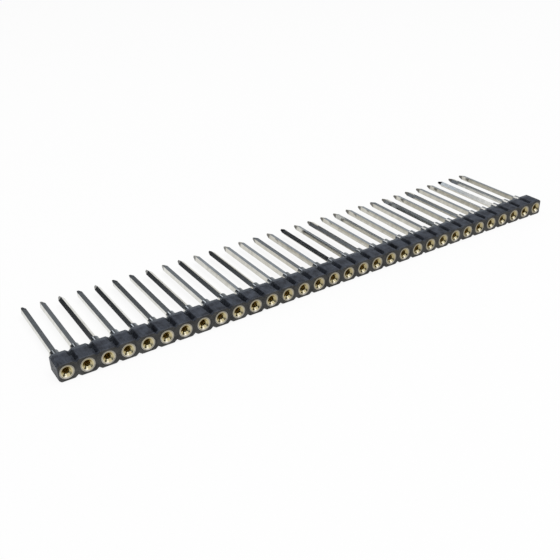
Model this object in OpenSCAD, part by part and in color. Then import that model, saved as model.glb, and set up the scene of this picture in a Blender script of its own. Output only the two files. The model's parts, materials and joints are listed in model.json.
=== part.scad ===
// Single-row socket strip with wire wrap tails.
// A moulded housing holds a row of turned sleeves. Each sleeve ends in a square tail
// and carries a four-fingered spring clip that grips a lead.
// The strip lies on one long side: X runs along the row, the mouths face -Y, the tails
// point to +Y and Z is up. The origin is the centre of the footprint, on the surface.

/* [Strip] */
// Number of sockets in the row
positions = 32; // [2:1:36]
// Distance from one socket's centre to the next
pitch = 2.54; // [2.4:0.01:2.8]
// Space left between pieces that are pressed together
fit_gap = 0.01; // [0.005:0.005:0.02]

/* [Housing] */
// Width of the housing across the row, which is its height as it lies
housing_h = 2.41; // [2.2:0.01:2.8]
// Depth of the housing from the mouth face to the tail side
housing_depth = 2.79; // [2.5:0.01:3.4]
// Width of the notch between two cells at the surface
notch_w = 0.92; // [0.5:0.01:1]
// Depth of the notch, which crosses the plate and the web
notch_depth = 0.37; // [0.2:0.01:0.45]
// Thickness of the mouth plate that joins the cells in front
plate_t = 0.45; // [0.3:0.01:0.7]
// Thickness of the web that joins the cells at the tail side
web_t = 0.3; // [0.2:0.01:0.6]
// Width at the surface of the pocket between plate and web
pocket_w = 0.8; // [0.5:0.01:0.85]
// Width of the pocket's floor
pocket_floor_w = 0.45; // [0.2:0.01:0.5]
// Depth of the pocket below the surface
pocket_depth = 0.85; // [0.5:0.01:0.95]
// Length missing from each end cell, where the strip was parted from a longer one
end_trim = 0.22; // [0.05:0.01:0.25]
// Width of the bevel on the long edges of the end faces
end_cut_w = 0.35; // [0.1:0.01:0.5]
// Height of the same bevel
end_cut_h = 0.32; // [0.1:0.01:0.5]
// Bevel around the long edges and the ends of the mouth face
mouth_bevel = 0.08; // [0.02:0.01:0.09]
// Length of the slight taper at the tail side
taper_len = 0.5; // [0.2:0.01:0.8]
// How much the taper takes off each long side
taper_drop = 0.06; // [0.02:0.01:0.2]

/* [Sleeve] */
// Diameter of the sleeve's head
head_d = 1.83; // [1.7:0.01:1.95]
// Length of the head, which stops in the housing's counterbore
head_len = 0.5; // [0.35:0.01:0.8]
// Diameter of the barrel and of the collar that it ends in
barrel_d = 1.27; // [1.22:0.01:1.4]
// Distance from the mouth face to the collar's seating face
seat_depth = 4.5; // [4.3:0.05:5.5]
// Bevel on the collar's edge
collar_bevel = 0.08; // [0.02:0.01:0.12]
// Distance from the mouth face to the step of the retaining barb
barb_at = 1.2; // [0.9:0.05:1.6]
// Length of the barb's slope
barb_len = 0.7; // [0.3:0.05:0.8]
// Height of the barb's step above the barrel
barb_rise = 0.07; // [0.03:0.01:0.12]
// Diameter of the lead-in cup at the face
cup_d = 1.64; // [1.4:0.01:1.7]
// Depth of the lead-in cup
cup_depth = 0.22; // [0.2:0.01:0.5]
// Diameter of the drilled bore
bore_d = 1.08; // [1.02:0.01:1.1]
// Depth of the bore before its drill point
bore_depth = 3.5; // [3.2:0.05:3.8]

/* [Tail] */
// Side of the square tail
tail_w = 0.635; // [0.5:0.005:0.66]
// Length of the tail from the seating face to its tip
tail_len = 12.7; // [8:0.1:16]
// Length of the tapered tip
tip_len = 0.9; // [0.4:0.05:1.5]
// Side of the tip's blunt end
tip_w = 0.25; // [0.1:0.01:0.35]

/* [Clip] */
// Thickness of the clip's sheet
clip_t = 0.09; // [0.06:0.01:0.12]
// How far the clip's rim lies below the mouth face
rim_recess = 0.03; // [0.02:0.01:0.1]
// Inner diameter of the throat, the straight neck that the flare narrows to
throat_d = 0.76; // [0.7:0.01:0.8]
// Distance from the mouth face to where the fingers start to close in
finger_at = 1.1; // [0.9:0.05:1.5]
// Length of the fingers
finger_len = 1.8; // [1.2:0.05:2]
// Diameter of the circle that the finger tips leave open
grip_d = 0.42; // [0.3:0.01:0.5]
// Width of the slots between the fingers
slot_w = 0.12; // [0.08:0.01:0.16]

/* [Hidden] */
$fn = 48;
past = 0.5; // how far a cutting shape runs past the surface that it cuts
drill_half_angle = 59;
// How far each tail happens to be turned about its own axis, in degrees from lying square
tail_turns = [84, 80, 48, 0, 48, 6, 6, 54, 84, 54, 74, 54, 78, 78, 0, 75,
              42, 72, 66, 78, 72, 78, 80, 0, 72, 77, 71, 84, 78, 42, 72, 78];
clips_per_node = 2;

strip_len = positions * pitch;
end_x = strip_len / 2 - end_trim;
total_depth = seat_depth + tail_len;
mouth_y = -total_depth / 2;
axis_z = housing_h / 2;
clip_nodes = ceil(positions / clips_per_node);
cavity_end = bore_depth + bore_d / 2 / tan(drill_half_angle);

function two_digits(n) = str(n < 10 ? "0" : "", n);
function contact_name(i) = str("contact_", two_digits(i));
function first_clip(k) = (k - 1) * clips_per_node + 1;
function last_clip(k) = min(k * clips_per_node, positions);
function clips_name(k) = str("clips_", two_digits(first_clip(k)), "_", two_digits(last_clip(k)));
function socket_x(i) = (i - (positions + 1) / 2) * pitch;
function boundary_x(b) = b * pitch - strip_len / 2;

// Upper edge of the strip's outline, seen on the mouth face, from left to right
function upper_edge() = concat(
    [[-end_x, housing_h / 2 - end_cut_h], [-end_x + end_cut_w, housing_h / 2]],
    [for (b = [1:positions - 1]) each [
        [boundary_x(b) - notch_w / 2, housing_h / 2],
        [boundary_x(b), housing_h / 2 - notch_depth],
        [boundary_x(b) + notch_w / 2, housing_h / 2]
    ]],
    [[end_x - end_cut_w, housing_h / 2], [end_x, housing_h / 2 - end_cut_h]]
);
function strip_outline() = let (upper = upper_edge(), n = len(upper))
    concat(upper, [for (k = [n - 1:-1:0]) [upper[k][0], -upper[k][1]]]);

// Side view of the housing: bevelled in front, slightly tapered at the tail side
function side_outline() = let (h = housing_h / 2) [
    [0, mouth_bevel - h], [mouth_bevel, -h],
    [housing_depth - taper_len, -h], [housing_depth, taper_drop - h],
    [housing_depth, h - taper_drop], [housing_depth - taper_len, h],
    [mouth_bevel, h], [0, h - mouth_bevel]
];

// Plan view of the housing: bevelled at the ends of the mouth face
function plan_outline() = [
    [mouth_bevel - end_x, 0], [end_x - mouth_bevel, 0], [end_x, mouth_bevel],
    [end_x, housing_depth], [-end_x, housing_depth], [-end_x, mouth_bevel]
];

// Outside of a sleeve as radius and depth, from the mouth to the seating face
function sleeve_outside() = [
    [head_d / 2, 0], [head_d / 2, head_len], [barrel_d / 2, head_len],
    [barrel_d / 2, barb_at], [barrel_d / 2 + barb_rise, barb_at],
    [barrel_d / 2, barb_at + barb_len],
    [barrel_d / 2, seat_depth - collar_bevel],
    [barrel_d / 2 - collar_bevel, seat_depth]
];

// Hole in the housing for one sleeve: the same steps, opened by the fit gap
function sleeve_hole() = let (r = barrel_d / 2 + fit_gap) [
    [0, -past], [head_d / 2 + fit_gap, -past], [head_d / 2 + fit_gap, head_len],
    [r, head_len], [r, barb_at], [r + barb_rise, barb_at],
    [r, barb_at + barb_len], [r, housing_depth + past], [0, housing_depth + past]
];

// Inside of a sleeve: lead-in cup, bore and drill point
function sleeve_cavity() = let (flare = (cup_d - bore_d) / 2 / cup_depth) [
    [0, -past], [cup_d / 2 + past * flare, -past], [bore_d / 2, cup_depth],
    [bore_d / 2, bore_depth], [0, cavity_end]
];

// Section through a clip: a flare that lies in the cup and narrows past it to the throat,
// then fingers that close in
function clip_section() = let (
    flare = (cup_d - bore_d) / 2 / cup_depth,
    rim = cup_d / 2 - fit_gap - rim_recess * flare,
    throat = throat_d / 2,
    throat_at = rim_recess + (rim - clip_t - throat) / flare,
    finger_end = finger_at + finger_len
) [
    [rim, rim_recess], [throat + clip_t, throat_at], [throat + clip_t, finger_at],
    [grip_d / 2 + clip_t, finger_end], [grip_d / 2, finger_end],
    [throat, finger_at], [throat, throat_at], [rim - clip_t, rim_recess]
];

// Carries what is drawn around a socket, with depth along +Z, to that socket
module at_socket(i) {
    translate([socket_x(i), mouth_y, axis_z]) rotate([-90, 0, 0]) children();
}

// Cutter for the pocket between mouth plate and web, on the upper side
module pocket_cutter() {
    top = pocket_depth + past;
    low = pocket_floor_w / 2;
    high = low + (pocket_w / 2 - low) * top / pocket_depth;
    translate([0, housing_depth - web_t, housing_h / 2 - pocket_depth])
        rotate([90, 0, 0])
            linear_extrude(housing_depth - web_t - plate_t)
                polygon([[-low, 0], [low, 0], [high, top], [-high, top]]);
}

module housing() {
    color([0.12, 0.12, 0.14])
        difference() {
            translate([0, mouth_y, axis_z]) {
                difference() {
                    intersection() {
                        translate([0, housing_depth, 0])
                            rotate([90, 0, 0]) linear_extrude(housing_depth) polygon(strip_outline());
                        rotate([90, 0, 90])
                            linear_extrude(strip_len + 2 * past, center = true) polygon(side_outline());
                        linear_extrude(housing_h + 2 * past, center = true) polygon(plan_outline());
                    }
                    for (b = [1:positions - 1], side = [0, 1])
                        translate([boundary_x(b), 0, 0]) mirror([0, 0, side]) pocket_cutter();
                }
            }
            for (i = [1:positions])
                at_socket(i) rotate_extrude() polygon(sleeve_hole());
        }
}

// Square tail with a four-sided taper at its tip, along +Z from the seating face
module tail() {
    w = tail_w / 2;
    t = tip_w / 2;
    side = [[-w, -collar_bevel], [w, -collar_bevel], [w, tail_len - tip_len],
            [t, tail_len], [-t, tail_len], [-w, tail_len - tip_len]];
    intersection() {
        rotate([90, 0, 0]) linear_extrude(tail_w, center = true) polygon(side);
        rotate([90, 0, 90]) linear_extrude(tail_w, center = true) polygon(side);
    }
}

module contact(i) {
    color("silver")
        at_socket(i) {
            difference() {
                rotate_extrude() polygon(concat([[0, 0]], sleeve_outside(), [[0, seat_depth]]));
                rotate_extrude() polygon(sleeve_cavity());
            }
            translate([0, 0, seat_depth])
                rotate([0, 0, -tail_turns[(i - 1) % len(tail_turns)]]) tail();
        }
}

// One clip, cut into four fingers behind its throat
module clip(i) {
    slot_len = finger_len + past;
    at_socket(i)
        difference() {
            rotate_extrude() polygon(clip_section());
            for (turn = [0, 90])
                rotate([0, 0, turn])
                    translate([-bore_d / 2, -slot_w / 2, finger_at]) cube([bore_d, slot_w, slot_len]);
        }
}

module clips(k) {
    color("gold")
        for (i = [first_clip(k):last_clip(k)]) clip(i);
}

housing();
for (i = [1:positions])
    contact(i);
for (k = [1:clip_nodes])
    clips(k);
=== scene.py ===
# %% [markdown]
# # Wire wrap socket strip
# A black moulded housing holds a row of turned sleeves. Each sleeve ends in a long square
# tail and carries a gold spring clip in its mouth. The construction comes from the packed
# model, which is loaded first and never moved. This script gives every surface its finish,
# with the marks that moulding, turning and drawing leave, and sets up a small studio.

# %% Load the construction and keep its box
import json
import math

import bpy
import numpy as np
from mathutils import Matrix, Vector


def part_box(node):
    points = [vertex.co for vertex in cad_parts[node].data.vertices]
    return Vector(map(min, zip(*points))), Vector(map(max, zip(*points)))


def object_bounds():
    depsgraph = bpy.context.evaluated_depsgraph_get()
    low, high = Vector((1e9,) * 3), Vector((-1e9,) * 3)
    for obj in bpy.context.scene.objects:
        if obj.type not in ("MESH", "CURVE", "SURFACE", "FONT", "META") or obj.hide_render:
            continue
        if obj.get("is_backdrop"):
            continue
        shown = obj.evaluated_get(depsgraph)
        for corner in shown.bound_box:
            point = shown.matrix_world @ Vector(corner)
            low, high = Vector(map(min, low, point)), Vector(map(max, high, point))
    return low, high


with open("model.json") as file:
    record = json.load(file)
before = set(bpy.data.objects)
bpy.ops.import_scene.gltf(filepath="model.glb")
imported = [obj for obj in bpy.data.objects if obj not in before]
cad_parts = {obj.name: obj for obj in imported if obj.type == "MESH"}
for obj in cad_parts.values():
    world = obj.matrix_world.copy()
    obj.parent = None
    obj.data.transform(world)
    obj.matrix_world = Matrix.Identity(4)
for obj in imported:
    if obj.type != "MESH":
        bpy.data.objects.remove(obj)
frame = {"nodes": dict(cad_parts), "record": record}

MM = 0.001
cad_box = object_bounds()
size = [(high - low) / MM for low, high in zip(*cad_box)]
print("the strip measures", [round(side, 2) for side in size], "mm")

# %% [markdown]
# ## The few sizes that everything else hangs on
# The nodes are read once, so that a finish which changes along a sleeve starts where the
# sleeve really changes. Reading them from the model is safer than copying numbers: if the
# pitch or the length of a tail changes there, the finish follows. Depths are counted in
# millimetres behind the mouths.

# %% Measure the row from the model
contact_names = sorted(name for name in frame["nodes"] if name.startswith("contact_"))
clip_names = sorted(name for name in frame["nodes"] if name.startswith("clips_"))
first_low, first_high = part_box(contact_names[0])
_, last_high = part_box(contact_names[-1])
housing_low, housing_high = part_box("housing")

pitch = (last_high.x - first_high.x) / (len(contact_names) - 1)
first_axis_x = (first_low.x + first_high.x) / 2
axis_z = (first_low.z + first_high.z) / 2
mouth_y = first_low.y
mounts = {mount["name"]: mount for mount in frame["record"]["mounts"]}
seat_depth = (mounts["seat_first"]["pos_m"][1] - mouth_y) / MM
tail_end_depth = (first_high.y - mouth_y) / MM
housing_depth = (housing_high.y - housing_low.y) / MM
print(len(contact_names), "sleeves at", round(pitch / MM, 3), "mm pitch, depths: housing",
      round(housing_depth, 2), "seats", round(seat_depth, 2), "tails", round(tail_end_depth, 2))

# %% [markdown]
# ## The camera
# The strip is looked at from in front of the sockets, from above and from its left. The
# camera is placed by what it looks at, how far away it stands, and how it is turned, because
# those few numbers can be read and changed, and a full matrix can't.

# %% Camera
def place_object(name, data):
    """A new object in the scene, which holds this mesh, lamp or camera."""
    made = bpy.data.objects.new(name, data)
    bpy.context.scene.collection.objects.link(made)
    return made


def make_camera(target, distance, azimuth, elevation, roll, lens, nearest):
    """Camera that looks at target. Azimuth turns its view from +Y towards +X, elevation lifts it."""
    turn = Matrix.Rotation(-azimuth, 4, "Z") @ Matrix.Rotation(math.pi / 2 - elevation, 4, "X")
    turn = turn @ Matrix.Rotation(roll, 4, "Z")
    data = bpy.data.cameras.new("camera")
    data.lens = lens
    data.clip_start = nearest
    camera = place_object("camera", data)
    camera.matrix_world = Matrix.Translation(target) @ turn @ Matrix.Translation((0, 0, distance))
    bpy.context.scene.camera = camera
    print("camera stands at", [round(c / MM, 1) for c in camera.matrix_world.translation], "mm")


make_camera(
    target=Vector((-7.626, -4.650, 1.205)) * MM,
    distance=106.26 * MM,
    azimuth=math.radians(32.496),
    elevation=math.radians(29.166),
    roll=math.radians(-1.425),
    lens=49.66,
    nearest=5 * MM,
)

# %% [markdown]
# ## Small helpers for materials
# Every finish below is a graph of nodes, which is long-winded to build one call at a time. One
# function adds a node and fills its inputs with numbers or links. The others are built on it:
# they do arithmetic, find a number or a colour between two others, and carry a value from one
# range to another. With them a finish reads as a short list of sums.

# %% Numbers and colours
# A mix node has a pair of inputs for each kind of value. These are the places of its colours.
COLOUR_A, COLOUR_B, COLOUR_RESULT = 6, 7, 2


def add(tree, kind, values=None, **settings):
    """Adds a node, applies its settings and fills its inputs with numbers, colours or links."""
    made = tree.nodes.new(kind)
    for name, value in settings.items():
        setattr(made, name, value)
    for name, value in (values or {}).items():
        if isinstance(value, bpy.types.NodeSocket):
            tree.links.new(value, made.inputs[name])
        else:
            made.inputs[name].default_value = value
    return made


def calc(tree, operation, *terms):
    """The result of one arithmetic step on numbers or links."""
    return add(tree, "ShaderNodeMath", dict(enumerate(terms)), operation=operation).outputs[0]


def plus(tree, value, extra, share):
    """The value plus this share of the extra."""
    return calc(tree, "MULTIPLY_ADD", extra, share, value)


def between(tree, share, first, second):
    """A number between two numbers."""
    return add(tree, "ShaderNodeMix", {"Factor": share, "A": first, "B": second}).outputs[0]


def blend(tree, share, first, second, kind="MIX"):
    """A colour between two colours, or with kind MULTIPLY the first one tinted by the second."""
    values = {"Factor": share, COLOUR_A: first, COLOUR_B: second}
    made = add(tree, "ShaderNodeMix", values, data_type="RGBA", blend_type=kind)
    return made.outputs[COLOUR_RESULT]


def remap(tree, value, low, high, new_low=0.0, new_high=1.0):
    """Carries a value from one range to another, stopping at the new range's ends."""
    names = ("Value", "From Min", "From Max", "To Min", "To Max")
    values = dict(zip(names, (value, low, high, new_low, new_high)))
    return add(tree, "ShaderNodeMapRange", values).outputs[0]


# %% [markdown]
# ## Places and soft noise
# A pattern needs to know where a point is. Here that is always the place in the object's own
# coordinates, because it moves with the piece and needs no unwrapping. Stretching the place
# before it goes into the noise turns round blotches into long streaks.

# %% Places and noise
def object_place(tree):
    """Where a point lies in its object's own coordinates, in metres."""
    return add(tree, "ShaderNodeTexCoord").outputs["Object"]


def split(tree, vector):
    """The X, Y and Z of a vector."""
    return add(tree, "ShaderNodeSeparateXYZ", {0: vector}).outputs


def join(tree, x, y, z):
    """A vector from three numbers or links."""
    return add(tree, "ShaderNodeCombineXYZ", {"X": x, "Y": y, "Z": z}).outputs[0]


def stretch(tree, vector, x, y, z):
    """The vector with each part multiplied by its own number."""
    made = add(tree, "ShaderNodeVectorMath", {0: vector, 1: (x, y, z)}, operation="MULTIPLY")
    return made.outputs[0]


def noise(tree, vector, scale, detail=3.0, roughness=0.55):
    """Soft random values from 0 to 1, at so many bumps for each unit of the vector."""
    values = {"Vector": vector, "Scale": scale, "Detail": detail, "Roughness": roughness}
    return add(tree, "ShaderNodeTexNoise", values).outputs[0]


# %% [markdown]
# ## Where a point lies on its own sleeve
# Turned and drawn metal carries its history as lines: rings around the axis where it was
# turned, lines along it where it was drawn. Both need to know how far a point is from the
# axis of its own sleeve. All sleeves share one material, so this group works out which sleeve
# a point belongs to from its X, and gives each sleeve its own chance number. It is a node
# group because the tin and the gold both ask for it, and a group is built only once.

# %% Group: place on the sleeve
FLOAT, VECTOR = "NodeSocketFloat", "NodeSocketVector"
# Each sleeve's draw comes from its whole number plus this
SEED = 0.5


def make_group(name, inputs, outputs):
    """An empty node group with named sockets, and its two end nodes."""
    tree = bpy.data.node_groups.new(name, "ShaderNodeTree")
    for socket, kind in inputs:
        tree.interface.new_socket(socket, in_out="INPUT", socket_type=kind)
    for socket, kind in outputs:
        tree.interface.new_socket(socket, in_out="OUTPUT", socket_type=kind)
    print("group", name, "puts out", ", ".join(socket for socket, _ in outputs))
    return tree, tree.nodes.new("NodeGroupInput").outputs, tree.nodes.new("NodeGroupOutput").inputs


def make_sleeve_place():
    """A point's place on its sleeve in mm (across, behind the mouth, up), its radius and chance."""
    outputs = [("Place", VECTOR), ("Radius", FLOAT), ("Depth", FLOAT), ("Chance", FLOAT)]
    tree, _, out = make_group("sleeve_place", [], outputs)
    parts = split(tree, object_place(tree))
    count = calc(tree, "DIVIDE", calc(tree, "SUBTRACT", parts["X"], first_axis_x), pitch)
    number = calc(tree, "ROUND", count)
    across = calc(tree, "MULTIPLY", calc(tree, "SUBTRACT", count, number), pitch / MM)
    depth = calc(tree, "DIVIDE", calc(tree, "SUBTRACT", parts["Y"], mouth_y), MM)
    height = calc(tree, "DIVIDE", calc(tree, "SUBTRACT", parts["Z"], axis_z), MM)
    square = plus(tree, calc(tree, "MULTIPLY", across, across), height, height)
    seed = calc(tree, "ADD", number, SEED)
    chance = add(tree, "ShaderNodeTexWhiteNoise", {"W": seed}, noise_dimensions="1D")
    tree.links.new(join(tree, across, depth, height), out["Place"])
    tree.links.new(calc(tree, "SQRT", square), out["Radius"])
    tree.links.new(depth, out["Depth"])
    tree.links.new(chance.outputs["Value"], out["Chance"])
    return tree


sleeve_place = make_sleeve_place()

# %% [markdown]
# ## Sparse nicks
# Loose parts knock against each other in their bag, so bright metal has a few small dents.
# Voronoi cells give scattered points. Keeping only the cells whose random number is low
# leaves a few, and the distance to the point gives each dent its round shape.

# %% Group: nicks
# How far a dent's flat middle and its edge lie from its point, in cell widths
NICK_MIDDLE, NICK_EDGE = 0.12, 0.30


def make_nicks():
    """1 in the middle of a nick and 0 outside. Share says how many of the cells have one."""
    inputs = [("Place", VECTOR), ("Per mm", FLOAT), ("Share", FLOAT)]
    tree, given, out = make_group("nicks", inputs, [("Mask", FLOAT)])
    values = {"Vector": given["Place"], "Scale": given["Per mm"]}
    cells = add(tree, "ShaderNodeTexVoronoi", values).outputs
    draw = add(tree, "ShaderNodeSeparateColor", {0: cells["Color"]}).outputs[0]
    lucky = calc(tree, "LESS_THAN", draw, given["Share"])
    dent = remap(tree, cells["Distance"], NICK_MIDDLE, NICK_EDGE, 1.0, 0.0)
    tree.links.new(calc(tree, "MULTIPLY", lucky, dent), out["Mask"])
    return tree


nicks = make_nicks()

# %% [markdown]
# ## Tin-plated sleeve and tail
# The sleeve is turned brass and the tail is drawn and swaged square, then both are tin
# plated. Tin is a soft grey metal that reflects a slightly blurred picture of the studio. Its
# lines run around the head and the collar and along the tail, and a faint haze makes some
# patches duller than others. The ring of head that shows round the gold is rougher, and its
# colour is painted darker and warmer as painted shade, and the tail's pointed tip is darker
# still. Four materials in four slots would do it, with hard
# borders. One material that reads the depth behind the mouth does it with soft ones.

# %% Helpers for materials
# Most values of the soft noise lie in this span. Here and below, a span is a pair of values:
# where a change begins and where it is complete.
NOISE_SPAN = (0.3, 0.7)


def make_material(name):
    """A new material, its node tree and its shader."""
    material = bpy.data.materials.new(name)
    material.use_nodes = True
    shader = material.node_tree.nodes["Principled BSDF"]
    return material, material.node_tree, shader


def use(tree, group, values=None):
    """Places a group in a material, fills its inputs and returns its outputs."""
    return add(tree, "ShaderNodeGroup", values, node_tree=group).outputs


def add_relief(tree, shader, height, depth):
    """Lets the shading follow a height, whose values of 0 and 1 lie this depth apart."""
    values = {"Height": height, "Strength": 1.0, "Distance": depth}
    tree.links.new(add(tree, "ShaderNodeBump", values).outputs[0], shader.inputs["Normal"])


# %% Material: tin plate
TIN = (0.800, 0.795, 0.765, 1)
DULL_TIN = (0.650, 0.640, 0.605, 1)
# The head's face colour is painted shade: darker and warmer than the tin.
SHADED_FACE_TIN = (0.450, 0.425, 0.370, 1)
TIP_TIN = (0.170, 0.170, 0.165, 1)
# Bumps, lines and cells for each mm. Drawn lines are 20 times longer than they are wide.
TIN_RINGS, TIN_LINES, TIN_HAZE, TIN_NICKS = 22.0, 16.0, 1.1, 1.3
LINE_SQUEEZE = 0.05
NICK_SHARE = 0.11
# A sleeve's chance moves its lines, haze and nicks by up to this many mm, so that all differ
CHANCE_SHIFT = 70.0
# Haze over which the metal turns dull, and how much of its chance a sleeve adds to it
DULL_SPAN = (0.42, 0.78)
DULL_CHANCE = 0.16
# Depths in mm: the head's face ends, and behind the seat the rings give way to drawn lines
FACE_SPAN = (0.03, 0.06)
MARKS_SPAN = (seat_depth, seat_depth + 0.02)
# Depths in mm over which the tip darkens, and how ragged the haze makes that edge
TIP_SPAN = (tail_end_depth - 0.95, tail_end_depth - 0.60)
TIP_RAGGED = 0.4
TIN_ROUGHNESS = (0.07, 0.15)
MARKS_ROUGHNESS = 0.05
FACE_ROUGHNESS = 0.2
# Heights of the marks and the dents beside a haze of 1
MARKS_HEIGHT, DENT_HEIGHT = 0.25, -1.5
TIN_RELIEF = 0.005 * MM


def make_tin_material():
    """Metal with turned rings up to the seat and drawn lines after it, a face painted darker as
    painted shade, and dark tips.
    """
    material, tree, shader = make_material("tin_plate")
    here = use(tree, sleeve_place)
    apart = join(tree, calc(tree, "MULTIPLY", here["Chance"], CHANCE_SHIFT), 0.0, 0.0)
    moved = add(tree, "ShaderNodeVectorMath", {0: here["Place"], 1: apart}, operation="ADD")
    place = moved.outputs[0]
    rings = noise(tree, join(tree, here["Radius"], here["Depth"], here["Chance"]), TIN_RINGS)
    lines = noise(tree, stretch(tree, place, 1.0, LINE_SQUEEZE, 1.0), TIN_LINES)
    marks = between(tree, remap(tree, here["Depth"], *MARKS_SPAN), rings, lines)
    haze = noise(tree, place, TIN_HAZE, detail=4.0)
    dents = use(tree, nicks, {"Place": place, "Per mm": TIN_NICKS, "Share": NICK_SHARE})["Mask"]

    dull = remap(tree, plus(tree, haze, here["Chance"], DULL_CHANCE), *DULL_SPAN)
    face = remap(tree, here["Depth"], *FACE_SPAN, 1.0, 0.0)
    tip = remap(tree, plus(tree, here["Depth"], haze, TIP_RAGGED), *TIP_SPAN)
    metal = blend(tree, dull, TIN, DULL_TIN)
    # Painted shade: the head's face gets the darker, warmer tin colour.
    metal = blend(tree, face, metal, SHADED_FACE_TIN)
    tree.links.new(blend(tree, tip, metal, TIP_TIN), shader.inputs["Base Color"])

    rough = remap(tree, haze, *NOISE_SPAN, *TIN_ROUGHNESS)
    rough = plus(tree, plus(tree, rough, marks, MARKS_ROUGHNESS), face, FACE_ROUGHNESS)
    tree.links.new(rough, shader.inputs["Roughness"])
    shader.inputs["Metallic"].default_value = 1.0
    height = plus(tree, plus(tree, haze, marks, MARKS_HEIGHT), dents, DENT_HEIGHT)
    add_relief(tree, shader, height, TIN_RELIEF)
    return material


# %% [markdown]
# ## Gold-plated clip
# The clip is spring sheet with a thin layer of gold. At its rim the gold is pale and worn, and on
# the flare it is polished by the leads pushed in. In the throat it is rougher, less metallic and
# painted a deeper brown: painted shade, standing in for the bounces between gold walls that
# deepen the colour of the light there. So the colour follows the radius on the flare and the
# depth below it. The flare is a plain cone in the model, and a
# stamped flare is rounded a little. Bending the shading alone gives the mirrored studio that
# roundness while the metal keeps its shape.

# %% Material: gold plate
RIM_GOLD = (0.690, 0.635, 0.480, 1)
PALE_GOLD = (0.560, 0.490, 0.285, 1)
# Painted shade: the throat's deep brown stands in for the bounces between gold walls.
SHADED_THROAT_GOLD = (0.700, 0.530, 0.150, 1)
# Radii in mm over which the rim begins, and depths in mm over which the throat begins
RIM_SPAN = (0.62, 0.74)
THROAT_SPAN = (0.42, 0.62)
THROAT_RAGGED = 0.2
THROAT_ROUGHNESS = 0.25
THROAT_METALLIC = 0.75
GOLD_RINGS, GOLD_HAZE = 11.0, 3.0
GOLD_ROUGHNESS = (0.06, 0.14)
# The rounding is a parabola about the flare's middle radius, and stops at its inner lip
FLARE_LIP = 0.46
FLARE_MIDDLE = 0.60
FLARE_CURVE = 0.75
# Heights in mm of the haze and the rings
HAZE_RELIEF, RING_RELIEF = 0.008, 0.005


def make_gold_material():
    """Metal that goes from a pale rim to a throat painted deep brown as painted shade.

    Its relief is haze and rings, less the curve times the squared distance from the flare's
    middle radius.
    """
    material, tree, shader = make_material("gold_plate")
    here = use(tree, sleeve_place)
    rings = noise(tree, join(tree, here["Depth"], here["Radius"], here["Chance"]), GOLD_RINGS)
    haze = noise(tree, here["Place"], GOLD_HAZE, detail=4.0)

    deep = remap(tree, plus(tree, here["Depth"], haze, THROAT_RAGGED), *THROAT_SPAN)
    flare = blend(tree, remap(tree, here["Radius"], *RIM_SPAN), PALE_GOLD, RIM_GOLD)
    # The throat's deep brown is painted shade.
    tree.links.new(blend(tree, deep, flare, SHADED_THROAT_GOLD), shader.inputs["Base Color"])
    rough = remap(tree, haze, *NOISE_SPAN, *GOLD_ROUGHNESS)
    tree.links.new(plus(tree, rough, deep, THROAT_ROUGHNESS), shader.inputs["Roughness"])
    tree.links.new(remap(tree, deep, 0.0, 1.0, 1.0, THROAT_METALLIC), shader.inputs["Metallic"])

    off = calc(tree, "SUBTRACT", calc(tree, "MAXIMUM", here["Radius"], FLARE_LIP), FLARE_MIDDLE)
    height = calc(tree, "MULTIPLY", calc(tree, "MULTIPLY", off, off), -FLARE_CURVE)
    height = plus(tree, plus(tree, height, haze, HAZE_RELIEF), rings, RING_RELIEF)
    add_relief(tree, shader, height, MM)
    return material


# %% [markdown]
# ## Black moulding
# The housing is a glass-filled polyester, black with a little blue in it. Moulded faces of
# this size aren't smooth: short glass fibres under the skin give a mottle, and the mould's own
# finish gives a fine grain. One dark colour would look like cut paper, so noise mixes two near
# blacks and lifts the shading a little. All of it stays weak, so that a face still reads as
# flat. The face round the mouths is a warmer black, and the tail side's margin is painted paler:
# a painted highlight, where the rounded rear edge would mirror the bright studio.

# %% Material: black moulding
BLACK = (0.008, 0.009, 0.013, 1)
SLATE = (0.054, 0.063, 0.083, 1)
# Painted highlight of the rounded rear edge on the tail side
MARGIN_HIGHLIGHT = (0.080, 0.090, 0.105, 1)
WARM_FACE = (1.00, 0.86, 0.62, 1)
# Bumps for each mm. Fibres are about 8 times longer than they are wide.
MOTTLE, GRAIN, FIBRES = 0.9, 9.0, 7.0
FIBRE_SQUEEZE = 0.12
FIBRE_SHARE = 0.3
TONE_SPAN = (0.36, 0.64)
# Depths in mm over which the mouth face ends and the painted highlight of the margin begins, with a
# ragged edge
MOUTH_FACE_SPAN = (0.0, 0.04)
MARGIN_SPAN = (housing_depth - 0.44, housing_depth - 0.14)
MARGIN_RAGGED = 0.5
MARGIN_SHARE = 0.9
GRAIN_ROUGHNESS = (0.36, 0.54)
# Mottle over which a dark patch ends, and how much rougher it is
DARK_SPAN = (0.35, 0.65)
DARK_ROUGHNESS = 0.12
# Height of the mottle beside a grain of 1
MOTTLE_HEIGHT = 2.5
MOULDING_RELIEF = 0.015 * MM


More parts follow.
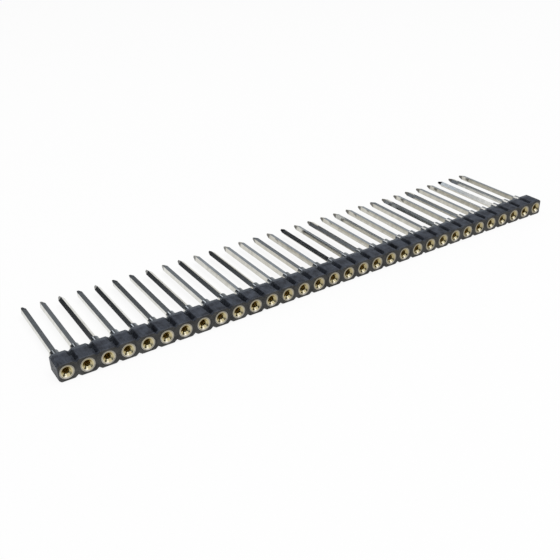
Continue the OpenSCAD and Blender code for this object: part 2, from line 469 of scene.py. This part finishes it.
def make_housing_material():
    """Plastic with a mottle of two near blacks, a fine grain and slightly paler fibres."""
    material, tree, shader = make_material("black_moulding")
    place = stretch(tree, object_place(tree), 1 / MM, 1 / MM, 1 / MM)
    mottle = noise(tree, place, MOTTLE, detail=5.0, roughness=0.65)
    grain = noise(tree, place, GRAIN)
    fibres = noise(tree, stretch(tree, place, 1.0, FIBRE_SQUEEZE, 1.0), FIBRES, detail=2.0)
    depth = calc(tree, "SUBTRACT", split(tree, place)["Y"], mouth_y / MM)

    tone = between(tree, FIBRE_SHARE, mottle, fibres)
    body = blend(tree, remap(tree, tone, *TONE_SPAN), BLACK, SLATE)
    on_face = remap(tree, depth, *MOUTH_FACE_SPAN, 1.0, 0.0)
    body = blend(tree, on_face, body, WARM_FACE, kind="MULTIPLY")
    # Painted highlight: the margin on the tail side is lighter.
    margin_highlight = remap(tree, plus(tree, depth, mottle, MARGIN_RAGGED), *MARGIN_SPAN, 0.0, MARGIN_SHARE)
    tree.links.new(blend(tree, margin_highlight, body, MARGIN_HIGHLIGHT), shader.inputs["Base Color"])

    dark = remap(tree, mottle, *DARK_SPAN, 1.0, 0.0)
    rough = plus(tree, remap(tree, grain, *NOISE_SPAN, *GRAIN_ROUGHNESS), dark, DARK_ROUGHNESS)
    tree.links.new(rough, shader.inputs["Roughness"])
    add_relief(tree, shader, plus(tree, grain, mottle, MOTTLE_HEIGHT), MOULDING_RELIEF)
    return material


# %% [markdown]
# ## Dress the nodes
# Each node came with the plain colour of its construction. Putting the finish into the slots
# that are already there is enough, because the metal and the plastic are one stuff all over
# and their marks come from the place of each point.

# %% Give each node its finish
def finish_nodes(names, material):
    """Puts one material into every slot of these nodes."""
    for name in names:
        for slot in frame["nodes"][name].material_slots:
            slot.material = material
    print(material.name, "on", len(names), "nodes")


finish_nodes(["housing"], make_housing_material())
finish_nodes(contact_names, make_tin_material())
finish_nodes(clip_names, make_gold_material())

# %% [markdown]
# ## Floor
# The floor is a wide pale sheet. Lit by the lamp and the sky alone, it would come out a little
# grey. Most of its white is light of its own, seen by the camera and by mirrors and glass, so
# the open floor is white and a faint shadow under the strip stays. In mirrors the floor has
# tones that the camera doesn't see: dim in front of the mouths, nearly white behind them on
# the left and grey behind them on the right. Without them every tail would mirror the same
# white, and its faces would fade into the background.

# %% Floor
FLOOR_SIDE = 3.0
FLOOR_WHITE = (0.90, 0.90, 0.90, 1)
# The share of the floor's own light in what the camera and mirrors see
FLOOR_GLOW = 0.88
PLAIN_PAPER = (1, 1, 1, 1)
LEFT_PAPER = (0.930, 0.935, 0.920, 1)
RIGHT_PAPER = (0.700, 0.680, 0.620, 1)
DIM_PAPER = (0.490, 0.460, 0.390, 1)
# Y in m over which the dim tone ends, and X in m over which the left tone becomes the right one
DIM_SPAN = (mouth_y - 6 * MM, mouth_y)
RIGHT_SPAN = (-25 * MM, -5 * MM)


def make_floor():
    """A flat square at the height that the strip stands on."""
    half = FLOOR_SIDE / 2
    corners = [(-half, -half, 0), (half, -half, 0), (half, half, 0), (-half, half, 0)]
    mesh = bpy.data.meshes.new("floor")
    mesh.from_pydata(corners, [], [(0, 1, 2, 3)])
    floor = place_object("floor", mesh)
    material, tree, shader = make_material("pale_floor")
    shader.inputs["Base Color"].default_value = FLOOR_WHITE
    shader.inputs["Roughness"].default_value = 1.0
    shader.inputs["Specular IOR Level"].default_value = 0.0

    rays = add(tree, "ShaderNodeLightPath").outputs
    mirrored = calc(tree, "MAXIMUM", rays["Is Glossy Ray"], rays["Is Transmission Ray"])
    seen = calc(tree, "MAXIMUM", rays["Is Camera Ray"], mirrored)
    parts = split(tree, object_place(tree))
    paper = blend(tree, remap(tree, parts["X"], *RIGHT_SPAN), LEFT_PAPER, RIGHT_PAPER)
    paper = blend(tree, remap(tree, parts["Y"], *DIM_SPAN), DIM_PAPER, paper)
    colour = blend(tree, mirrored, PLAIN_PAPER, paper)
    glow = add(tree, "ShaderNodeEmission", {"Color": colour, "Strength": 1.0}).outputs[0]
    share = calc(tree, "MULTIPLY", seen, FLOOR_GLOW)
    mixed = add(tree, "ShaderNodeMixShader", {0: share, 1: shader.outputs[0], 2: glow}).outputs[0]
    tree.links.new(mixed, tree.nodes["Material Output"].inputs["Surface"])
    mesh.materials.append(material)
    floor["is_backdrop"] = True
    print("floor is", FLOOR_SIDE, "m wide")


make_floor()

# %% [markdown]
# ## Ring of cards round the strip
# Bright metal shows whatever stands around it. On a white table under a white sky it would
# look like paper. A tall ring of grey cards, far outside the picture, gives the metal
# something dark to mirror, and its edges appear. Each card has its own grey, because a
# square tail tells its four faces apart only where the ring is uneven. Only mirrors see the
# ring: it takes no daylight away. It is one sheet whose greys follow the compass and the
# height, which is easier to tune than a crowd of single cards.

# %% Helpers for cards that only mirrors see
def make_card(name, points, material):
    """A sheet through a grid of points, with a face between each four neighbours.

    It is hidden from the camera, from shadows and from daylight.
    """
    index = np.arange(points.shape[0] * points.shape[1]).reshape(points.shape[:2])
    corners = [index[:-1, :-1], index[:-1, 1:], index[1:, 1:], index[1:, :-1]]
    faces = np.stack(corners, -1).reshape(-1, 4)
    mesh = bpy.data.meshes.new(name)
    mesh.from_pydata(points.reshape(-1, 3).tolist(), [], faces.tolist())
    mesh.materials.append(material)
    card = place_object(name, mesh)
    card.visible_camera = False
    card.visible_shadow = False
    card.visible_diffuse = False
    return card


def make_glow(name, strength):
    """A material that only glows, its node tree, and the input for its colour."""
    material, tree, _ = make_material(name)
    glow = add(tree, "ShaderNodeEmission", {"Strength": strength})
    tree.links.new(glow.outputs[0], tree.nodes["Material Output"].inputs["Surface"])
    return material, tree, glow.inputs["Color"]


# %% Ring of cards
RING_RADIUS = 0.5
RING_HEIGHT = 0.55
# The wall's height as shares of that: the mean, and how much it rises to the back
RING_MEAN, RING_SWAY = 0.675, 0.325
RING_COLUMNS = 97
# The wall's foot, as a share of its height, stays just clear of the floor
RING_FOOT = 0.001
RING_COOL = (0.79, 0.87, 0.98)
# Z in m over which the low greys become the halfway ones, and those become the high ones
HALFWAY_SPAN, HIGH_SPAN = (0.10, 0.22), (0.30, 0.32)
# Compass direction in degrees from +Y towards +X, then in columns 1 to 3 the grey low on the
# wall, halfway up and high
RING_GREYS = (
    (-180, 0.03, 0.03, 0.03), (-142, 0.03, 0.03, 0.03), (-134, 0.45, 0.45, 0.45),
    (-60, 0.50, 0.50, 0.50), (-44, 0.20, 0.20, 0.20),
    (-36, 0.04, 0.04, 0.04), (-24, 0.04, 0.04, 0.04), (-21, 0.04, 0.04, 0.90),
    (-6, 0.05, 0.04, 0.90), (-3, 0.05, 0.04, 0.06), (5, 0.05, 0.04, 0.06),
    (14, 0.35, 0.18, 0.18), (50, 0.40, 0.30, 0.30), (80, 0.25, 0.25, 0.25),
    (98, 0.03, 0.03, 0.03), (120, 0.03, 0.03, 0.03), (130, 0.40, 0.40, 0.40),
    (168, 0.40, 0.40, 0.40), (176, 0.03, 0.03, 0.03), (180, 0.03, 0.03, 0.03),
)
LOW, HALFWAY, HIGH = 1, 2, 3


def ring_ramp(tree, turn, column):
    """Colour ramp round the compass with one column of the greys."""
    ramp = add(tree, "ShaderNodeValToRGB", {0: turn})
    stops = ramp.color_ramp.elements
    for row in RING_GREYS[1:-1]:
        stops.new(row[0] / 360 + 0.5)
    for stop, row in zip(stops, RING_GREYS):
        stop.color = [row[column] * tint for tint in RING_COOL] + [1]
    return ramp.outputs[0]


def make_ring():
    """Wall round the strip: x = R sin(a), y = R cos(a), z = u H (mean + sway cos(a)), over a and u."""
    angles = np.linspace(-math.pi, math.pi, RING_COLUMNS)
    a, u = np.meshgrid(angles, (RING_FOOT, 1.0), indexing="ij")
    z = u * RING_HEIGHT * (RING_MEAN + RING_SWAY * np.cos(a))
    points = np.stack([RING_RADIUS * np.sin(a), RING_RADIUS * np.cos(a), z], -1)
    material, tree, colour = make_glow("grey_cards", 1.0)
    parts = split(tree, object_place(tree))
    compass = calc(tree, "ARCTAN2", parts["X"], parts["Y"])
    turn = remap(tree, compass, -math.pi, math.pi)
    halfway = remap(tree, parts["Z"], *HALFWAY_SPAN)
    high = remap(tree, parts["Z"], *HIGH_SPAN)
    grey = blend(tree, halfway, ring_ramp(tree, turn, LOW), ring_ramp(tree, turn, HALFWAY))
    tree.links.new(blend(tree, high, grey, ring_ramp(tree, turn, HIGH)), colour)
    ring = make_card("ring_of_cards", points, material)
    ring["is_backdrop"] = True
    print("ring of", len(RING_GREYS), "greys stands", RING_RADIUS, "m away")


make_ring()

# %% [markdown]
# ## Bright card for the sockets
# The cups of the gold clips are small round mirrors that look out to the front. Each of them
# needs something bright to catch, or all the cups stay flat. A lamp would do it, but would
# also change the daylight on everything else, so it is a bright, slightly blue card that only
# mirrors see, in front of the ring. It is a patch of a sphere round the strip, so its size
# and place are four angles, and it can be moved without changing how bright it looks.

# %% Front card
CARD_COLOUR = (0.95, 1.0, 1.3, 1)
# The card stands just inside the ring
CARD_REACH = 0.95 * RING_RADIUS
CARD_POINTS = 9


def make_front_card(compass, height, half_turn, half_height, strength):
    """Patch of a sphere facing the strip: R (sin(a) cos(e), cos(a) cos(e), sin(e)), over a and e."""
    turns = np.radians(np.linspace(compass - half_turn, compass + half_turn, CARD_POINTS))
    lifts = np.radians(np.linspace(height - half_height, height + half_height, CARD_POINTS))
    a, e = np.meshgrid(turns, lifts, indexing="ij")
    points = CARD_REACH * np.stack([np.sin(a) * np.cos(e), np.cos(a) * np.cos(e), np.sin(e)], -1)
    material, _, colour = make_glow("bright_card", strength)
    colour.default_value = CARD_COLOUR
    card = make_card("front_card", points, material)
    card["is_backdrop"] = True
    print("front card at compass", compass, "and", height, "degrees up")


make_front_card(compass=149, height=27, half_turn=14, half_height=20, strength=1.9)

# %% [markdown]
# ## Lamp and sky
# One wide soft lamp hangs overhead and slightly in front, and the sky fills in from all
# sides. More lamps would draw more highlights, but here the cards do that. Mirrors don't see
# the lamp, because there it would add to the white sky behind it and burn out every face that
# looks up. Lamp and sky are set so that the floor renders just about white.

# %% Lamp and sky
def make_lamp(name, place, aim, width, watts):
    """A square soft lamp at place, facing aim, which mirrors don't see."""
    data = bpy.data.lights.new(name, "AREA")
    data.shape = "SQUARE"
    data.size = width
    data.energy = watts
    lamp = place_object(name, data)
    lamp.visible_glossy = False
    turn = (Vector(aim) - Vector(place)).to_track_quat("-Z", "Y").to_matrix().to_4x4()
    lamp.matrix_world = Matrix.Translation(place) @ turn
    print("lamp", name, "is", width, "m wide with", watts, "W")


def make_sky(level):
    """White to the camera, mirrors and glass, and an even grey of this level to everything else."""
    world = bpy.data.worlds.new("sky")
    world.use_nodes = True
    bpy.context.scene.world = world
    tree = world.node_tree
    rays = add(tree, "ShaderNodeLightPath").outputs
    mirrored = calc(tree, "MAXIMUM", rays["Is Glossy Ray"], rays["Is Transmission Ray"])
    seen = calc(tree, "MAXIMUM", rays["Is Camera Ray"], mirrored)
    tree.links.new(remap(tree, seen, 0.0, 1.0, level), tree.nodes["Background"].inputs["Strength"])
    tree.nodes["Background"].inputs["Color"].default_value = (1, 1, 1, 1)
    print("sky lights with", level)


make_lamp("overhead", place=(0.0, -0.10, 0.55), aim=(0, 0, 0), width=0.45, watts=2.2)
make_sky(0.45)
bpy.context.scene.view_settings.view_transform = "Standard"

# %% [markdown]
# ## Compare and finish
# The finishes add no piece to the strip, so its box must still be the construction's box.
# The growth of the box is printed.

# %% Compare the dressed strip with the construction, and finish
dressed_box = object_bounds()
growth = [(a - b) / MM for a, b in zip(dressed_box[1] - dressed_box[0], cad_box[1] - cad_box[0])]
print("dressing adds", [round(side, 3) for side in growth], "mm")
